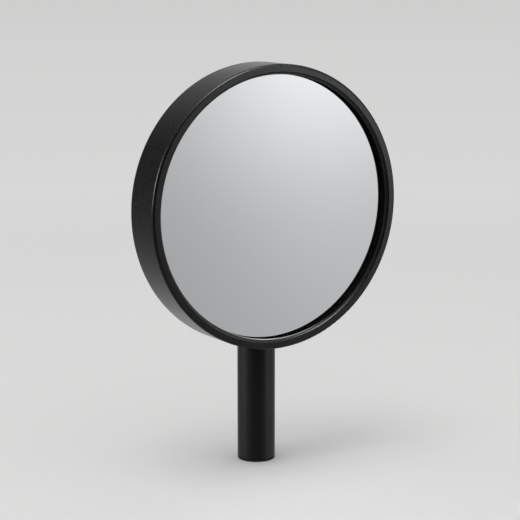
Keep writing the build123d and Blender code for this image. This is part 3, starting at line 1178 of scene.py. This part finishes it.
@dataclass
class Studio:
    """Pale floor that runs into a plain backdrop, an overhead softbox and an even sky.

    Reflections of a glossy depth above first_reflection count as later ones.
    """

    floor_colour: Colour = (0.70, 0.70, 0.695)
    backdrop: Colour = (0.684, 0.684, 0.68)
    backdrop_top: Colour = (0.625, 0.625, 0.62)
    floor_radius: float = 40.0
    floor_segments: int = 64
    fade: Pair = (0.45, 1.5)
    far_fade: Pair = (1.5, 11.0)
    far_curve: float = 0.5
    sky: float = 0.783
    softbox_side: float = 1.05
    softbox_place: tuple[float, float, float] = (-0.52, -0.25, 2.1)
    softbox_watts: float = 13.5
    around_coats: Surroundings = COAT_SURROUNDINGS
    around_glass: Surroundings = GLASS_SURROUNDINGS
    around_lip: Surroundings = LIP_SURROUNDINGS
    first_reflection: float = 1.5

    def build(self) -> None:
        """Make the floor, the world and the softbox."""
        self.floor()
        self.world()
        self.softbox()
        log.info("studio: floor, sky and softbox")

    def floor(self) -> None:
        """Round floor that keeps the shadow near the mirror and turns into backdrop further out."""
        form = bmesh.new()
        bmesh.ops.create_circle(form, cap_ends=True, radius=self.floor_radius, segments=self.floor_segments)
        made = finished_object("studio_floor", form)
        material = bpy.data.materials.new("studio_floor_paper")
        material.use_nodes = True
        material.cycles.emission_sampling = "NONE"
        self.fill_floor(Shader(material.node_tree))
        made.data.materials.append(material)

    def fill_floor(self, shader: Shader) -> None:
        """Build the floor's nodes.

        Args:
            shader: the floor material's tree.
        """
        position = shader.node("ShaderNodeNewGeometry", output="Position")
        out = shader.node("ShaderNodeVectorMath", {"operation": "LENGTH"}, {0: position}, output="Value")
        near = shader.node("ShaderNodeMapRange", {"interpolation_type": "SMOOTHSTEP"},
                           {"Value": out, "From Min": self.fade[0], "From Max": self.fade[1]})
        far = shader.node("ShaderNodeMapRange", {"interpolation_type": "LINEAR"},
                          {"Value": out, "From Min": self.far_fade[0], "From Max": self.far_fade[1]})
        paper = shader.node("ShaderNodeBsdfDiffuse", {}, {"Color": self.floor_colour})
        colour = shader.tint(far ** self.far_curve, self.backdrop, self.backdrop_top)
        backdrop = shader.node("ShaderNodeEmission", {}, {"Color": colour, "Strength": 1.0})
        seen = shader.node("ShaderNodeMixShader", {}, {0: near, 1: paper, 2: backdrop})
        shader.output(self.by_ray(shader, seen, shader.node("ShaderNodeBsdfTransparent")))

    @staticmethod
    def by_ray(shader: Shader, seen: Signal, reflected: Signal) -> Signal:
        """Give shiny and clear surfaces one thing to see, and all else another.

        Args:
            shader: the tree that the nodes go to.
            seen: what the camera and the diffuse light get.
            reflected: what reflections get.

        Returns:
            The mixed surface.
        """
        glossy = shader.node("ShaderNodeLightPath", output="Is Glossy Ray")
        clear = shader.node("ShaderNodeLightPath", output="Is Transmission Ray")
        return shader.node("ShaderNodeMixShader", {}, {0: glossy.largest(clear), 1: seen, 2: reflected})

    def world(self) -> None:
        """World that is backdrop to the camera, surroundings to shiny surfaces and even sky to all else."""
        world = bpy.data.worlds.new("studio_world")
        world.use_nodes = True
        world.cycles.sampling_method = "NONE"
        bpy.context.scene.world = world
        shader = Shader(world.node_tree)
        camera = shader.node("ShaderNodeLightPath", output="Is Camera Ray")
        backdrop = shader.node("ShaderNodeBackground", {}, {"Color": self.backdrop_top, "Strength": 1.0})
        sky = self.glow(shader, self.sky)
        seen = shader.node("ShaderNodeMixShader", {}, {0: camera, 1: sky, 2: backdrop})
        shader.output(self.by_ray(shader, seen, self.reflected(shader)))

    def reflected(self, shader: Shader) -> Signal:
        """What reflections show: the coats and the glass have their own surroundings, and so has the lip.

        Args:
            shader: the world's tree.

        Returns:
            The background that reflections get.
        """
        direction = shader.node("ShaderNodeTexCoord", output="Generated")
        coats = self.glow(shader, self.around_coats.brightness(shader, direction))
        glass = self.glow(shader, self.around_glass.brightness(shader, direction))
        lip = self.glow(shader, self.around_lip.brightness(shader, direction))
        sharp = shader.node("ShaderNodeLightPath", output="Is Singular Ray")
        later = shader.node("ShaderNodeLightPath", output="Glossy Depth").above(self.first_reflection)
        first = shader.node("ShaderNodeMixShader", {}, {0: sharp, 1: coats, 2: glass})
        return shader.node("ShaderNodeMixShader", {}, {0: later, 1: first, 2: lip})

    @staticmethod
    def glow(shader: Shader, strength: Value) -> Signal:
        """White background of a given strength."""
        return shader.node("ShaderNodeBackground", {}, {"Color": WHITE, "Strength": strength})

    def softbox(self) -> None:
        """Large square lamp overhead, a little to the front and left."""
        lamp = bpy.data.lights.new("softbox", "AREA")
        lamp.shape = "SQUARE"
        lamp.size = self.softbox_side
        lamp.energy = self.softbox_watts
        made = bpy.data.objects.new("softbox", lamp)
        place = Vector(self.softbox_place)
        made.matrix_world = facing(place - joint_place("head_tilt"), place)
        made.visible_glossy = False
        bpy.context.scene.collection.objects.link(made)


@dataclass
class PhotoCamera:
    """Camera at the photograph's place: its direction from the mirror, its distance and its lens."""

    azimuth: float = -32.243
    elevation: float = 10.257
    distance: float = 1.1969
    aim_height: float = 0.14597
    aim_shift: float = 0.00278
    focal_pixels: float = 1675.5
    sensor_width: float = 36.0
    clip_end: float = 100.0

    def build(self) -> None:
        """Make the camera and set it as the scene's."""
        turn = math.radians(self.azimuth)
        rise = math.radians(self.elevation)
        right = Vector((math.cos(turn), math.sin(turn), 0.0))
        back = Vector((math.sin(turn) * math.cos(rise), -math.cos(turn) * math.cos(rise), math.sin(rise)))
        aim = Vector((0.0, 0.0, self.aim_height)) + right * self.aim_shift
        data = bpy.data.cameras.new("photo_camera")
        data.sensor_width = self.sensor_width
        data.sensor_fit = "HORIZONTAL"
        data.lens = self.focal_pixels * self.sensor_width / IMAGE_SIDE
        data.clip_end = self.clip_end
        made = bpy.data.objects.new("photo_camera", data)
        made.matrix_world = facing(back, aim + back * self.distance)
        bpy.context.scene.collection.objects.link(made)
        bpy.context.scene.camera = made
        log.info("camera: %.1f mm lens", data.lens)


def main() -> None:
    """Dress the mirror, make its small hardware, and set up the studio and the camera."""
    logging.basicConfig(level=logging.INFO, format="%(name)s: %(message)s")
    for assembly in (MirrorHead(), TiltHinge(), SwivelYoke(), TelescopicColumn()):
        assembly.build()
    Studio().build()
    PhotoCamera().build()
    bpy.context.scene.view_settings.view_transform = "Standard"


if __name__ == "__main__":
    main()
